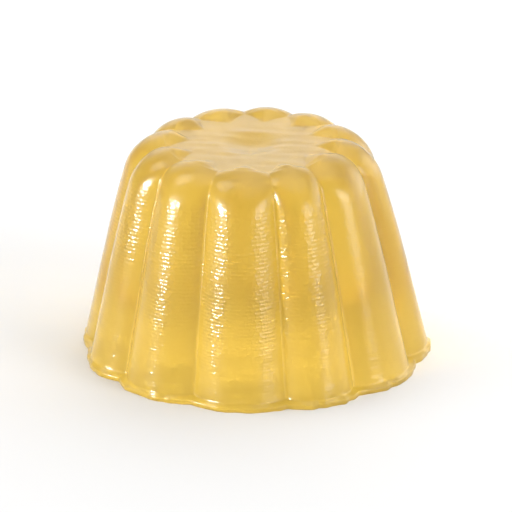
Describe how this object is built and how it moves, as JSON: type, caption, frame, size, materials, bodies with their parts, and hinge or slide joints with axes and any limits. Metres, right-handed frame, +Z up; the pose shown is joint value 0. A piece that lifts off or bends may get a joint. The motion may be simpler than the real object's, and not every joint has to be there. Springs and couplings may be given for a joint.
{
  "type": "moulded jelly",
  "caption": "Turned-out fluted jelly: tapering wall of rounded flutes, star-shaped level top with a shallow round dish, and a thin lip round a flat base. Clear yellow.",
  "frame": {"origin": "middle of the flat base, on the surface that the jelly stands on", "axes": "+Z up through the mould's axis, from the base to the star-shaped top; -Y towards the side first seen"},
  "size_m": [0.1202, 0.12, 0.0764],
  "materials": {
    "jelly": "gloss"
  },
  "bodies": {
    "root": {"jelly": "jelly"}
  },
  "joints": []
}
